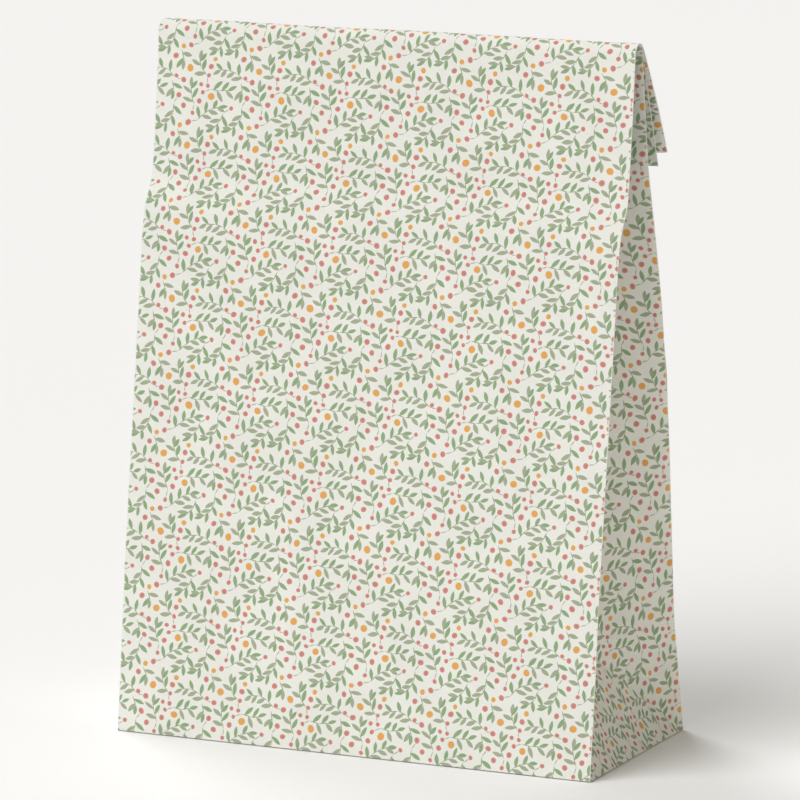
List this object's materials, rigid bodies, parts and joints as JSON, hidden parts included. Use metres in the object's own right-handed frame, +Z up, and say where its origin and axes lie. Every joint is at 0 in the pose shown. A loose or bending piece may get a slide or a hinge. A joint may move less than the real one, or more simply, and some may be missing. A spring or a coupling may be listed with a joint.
{
  "type": "gift bag",
  "caption": "Folded paper gift bag with side gussets, a square bottom and its top folded over; the top unrolls and the mouth opens.",
  "frame": {"origin": "middle of the underside of the bottom, on the surface that the bag stands on", "axes": "+Z up, the front panel faces -Y, the folded flap hangs on the +Y side, +X to the right seen from the front"},
  "size_m": [0.22, 0.1002, 0.3004],
  "materials": {
    "printed_paper": "matt uncoated white paper with a small sprig and berry print in soft green, coral pink and orange",
    "plain_paper": "matt uncoated white paper, the unprinted inside"
  },
  "bodies": {
    "base": {"bottom_outer_flap": "printed_paper", "bottom_inner_flap": "plain_paper", "bottom_tuck_left": "plain_paper", "bottom_tuck_right": "plain_paper"},
    "front": {"front_panel": "printed_paper", "front_shoulder": "printed_paper", "front_collar": "printed_paper"},
    "back": {"back_heel": "printed_paper", "back_panel_lower": "printed_paper", "back_panel_upper": "printed_paper", "seam_lap": "plain_paper"},
    "front_flap": {"front_flap": "printed_paper"},
    "back_flap": {"back_flap": "printed_paper"},
    "foot_left": {"foot_left": "printed_paper"},
    "front_gusset_upper_left": {"front_gusset_upper_left": "printed_paper"},
    "front_gusset_lower_left": {"front_gusset_lower_left": "printed_paper"},
    "back_gusset_upper_left": {"back_gusset_upper_left": "printed_paper"},
    "back_gusset_lower_left": {"back_gusset_lower_left": "printed_paper"},
    "front_flap_gusset_left": {"front_flap_gusset_left": "printed_paper"},
    "back_flap_gusset_left": {"back_flap_gusset_left": "printed_paper"},
    "foot_right": {"foot_right": "printed_paper"},
    "front_gusset_upper_right": {"front_gusset_upper_right": "printed_paper"},
    "front_gusset_lower_right": {"front_gusset_lower_right": "printed_paper"},
    "back_gusset_upper_right": {"back_gusset_upper_right": "printed_paper"},
    "back_gusset_lower_right": {"back_gusset_lower_right": "printed_paper"},
    "front_flap_gusset_right": {"front_flap_gusset_right": "printed_paper"},
    "back_flap_gusset_right": {"back_flap_gusset_right": "printed_paper"}
  },
  "joints": [
    {"name": "top_unroll", "type": "hinge", "parent": "front", "child": "front_flap", "pos_m": [0, 0, 0.2975], "axis": [1, 0, 0], "range_deg": [0, 143.5], "deforming": ["front_flap"]},
    {"name": "front_lean", "type": "hinge", "parent": "base", "child": "front", "pos_m": [0, -0.05, 0], "axis": [1, 0, 0], "range_deg": [0, 8.3]},
    {"name": "back_lean", "type": "hinge", "parent": "base", "child": "back", "pos_m": [0, 0.05, 0], "axis": [-1, 0, 0], "range_deg": [0, 8]},
    {"name": "back_flap_unroll", "type": "hinge", "parent": "back", "child": "back_flap", "pos_m": [0, 0.00335, 0.2971], "axis": [1, 0, 0], "range_deg": [0, 169.3], "deforming": ["back_flap"]},
    {"name": "foot_lift_left", "type": "hinge", "parent": "base", "child": "foot_left", "pos_m": [-0.11, 0, 0], "axis": [0, -1, 0], "range_deg": [0, 29.5]},
    {"name": "front_gusset_open_left", "type": "hinge", "parent": "front", "child": "front_gusset_upper_left", "pos_m": [-0.11, -0.05, 0], "axis": [0, 0.1348, 0.9909], "range_deg": [0, 57]},
    {"name": "front_gusset_twist_left", "type": "hinge", "parent": "front_gusset_upper_left", "child": "front_gusset_lower_left", "pos_m": [-0.11, -0.05, 0], "axis": [0, -0.1348, -0.9909], "range_deg": [0, 28]},
    {"name": "back_gusset_open_left", "type": "hinge", "parent": "back", "child": "back_gusset_upper_left", "pos_m": [-0.11, 0.047, 0], "axis": [0, 0.1258, -0.9921], "range_deg": [0, 55]},
    {"name": "back_gusset_twist_left", "type": "hinge", "parent": "back_gusset_upper_left", "child": "back_gusset_lower_left", "pos_m": [-0.11, 0.047, 0], "axis": [0, -0.1258, 0.9921], "range_deg": [0, 24]},
    {"name": "front_flap_gusset_open_left", "type": "hinge", "parent": "front_flap", "child": "front_flap_gusset_left", "pos_m": [-0.11, 0.004, 0.2995], "axis": [0, 0.4818, -0.8763], "range_deg": [0, 54], "deforming": ["front_flap_gusset_left"]},
    {"name": "back_flap_gusset_open_left", "type": "hinge", "parent": "back_flap", "child": "back_flap_gusset_left", "pos_m": [-0.11, 0.0033, 0.2972], "axis": [0, -0.3202, 0.9474], "range_deg": [0, 54], "deforming": ["back_flap_gusset_left"]},
    {"name": "foot_lift_right", "type": "hinge", "parent": "base", "child": "foot_right", "pos_m": [0.11, 0, 0], "axis": [0, 1, 0], "range_deg": [0, 29.5]},
    {"name": "front_gusset_open_right", "type": "hinge", "parent": "front", "child": "front_gusset_upper_right", "pos_m": [0.11, -0.05, 0], "axis": [0, -0.1348, -0.9909], "range_deg": [0, 57]},
    {"name": "front_gusset_twist_right", "type": "hinge", "parent": "front_gusset_upper_right", "child": "front_gusset_lower_right", "pos_m": [0.11, -0.05, 0], "axis": [0, 0.1348, 0.9909], "range_deg": [0, 28]},
    {"name": "back_gusset_open_right", "type": "hinge", "parent": "back", "child": "back_gusset_upper_right", "pos_m": [0.11, 0.047, 0], "axis": [0, -0.1258, 0.9921], "range_deg": [0, 55]},
    {"name": "back_gusset_twist_right", "type": "hinge", "parent": "back_gusset_upper_right", "child": "back_gusset_lower_right", "pos_m": [0.11, 0.047, 0], "axis": [0, 0.1258, -0.9921], "range_deg": [0, 24]},
    {"name": "front_flap_gusset_open_right", "type": "hinge", "parent": "front_flap", "child": "front_flap_gusset_right", "pos_m": [0.11, 0.004, 0.2995], "axis": [0, -0.4818, 0.8763], "range_deg": [0, 54], "deforming": ["front_flap_gusset_right"]},
    {"name": "back_flap_gusset_open_right", "type": "hinge", "parent": "back_flap", "child": "back_flap_gusset_right", "pos_m": [0.11, 0.0033, 0.2972], "axis": [0, 0.3202, -0.9474], "range_deg": [0, 54], "deforming": ["back_flap_gusset_right"]}
  ],
  "couplings": [
    {"joint": "front_lean", "follows": "top_unroll", "ratio": 0.057839},
    {"joint": "back_lean", "follows": "top_unroll", "ratio": 0.055749},
    {"joint": "back_flap_unroll", "follows": "top_unroll", "ratio": 1.1798},
    {"joint": "foot_lift_left", "follows": "top_unroll", "ratio": 0.20557},
    {"joint": "front_gusset_open_left", "follows": "top_unroll", "ratio": 0.39721},
    {"joint": "front_gusset_twist_left", "follows": "top_unroll", "ratio": 0.19512},
    {"joint": "back_gusset_open_left", "follows": "top_unroll", "ratio": 0.38327},
    {"joint": "back_gusset_twist_left", "follows": "top_unroll", "ratio": 0.16725},
    {"joint": "front_flap_gusset_open_left", "follows": "top_unroll", "ratio": 0.37631},
    {"joint": "back_flap_gusset_open_left", "follows": "top_unroll", "ratio": 0.37631},
    {"joint": "foot_lift_right", "follows": "top_unroll", "ratio": 0.20557},
    {"joint": "front_gusset_open_right", "follows": "top_unroll", "ratio": 0.39721},
    {"joint": "front_gusset_twist_right", "follows": "top_unroll", "ratio": 0.19512},
    {"joint": "back_gusset_open_right", "follows": "top_unroll", "ratio": 0.38327},
    {"joint": "back_gusset_twist_right", "follows": "top_unroll", "ratio": 0.16725},
    {"joint": "front_flap_gusset_open_right", "follows": "top_unroll", "ratio": 0.37631},
    {"joint": "back_flap_gusset_open_right", "follows": "top_unroll", "ratio": 0.37631}
  ]
}
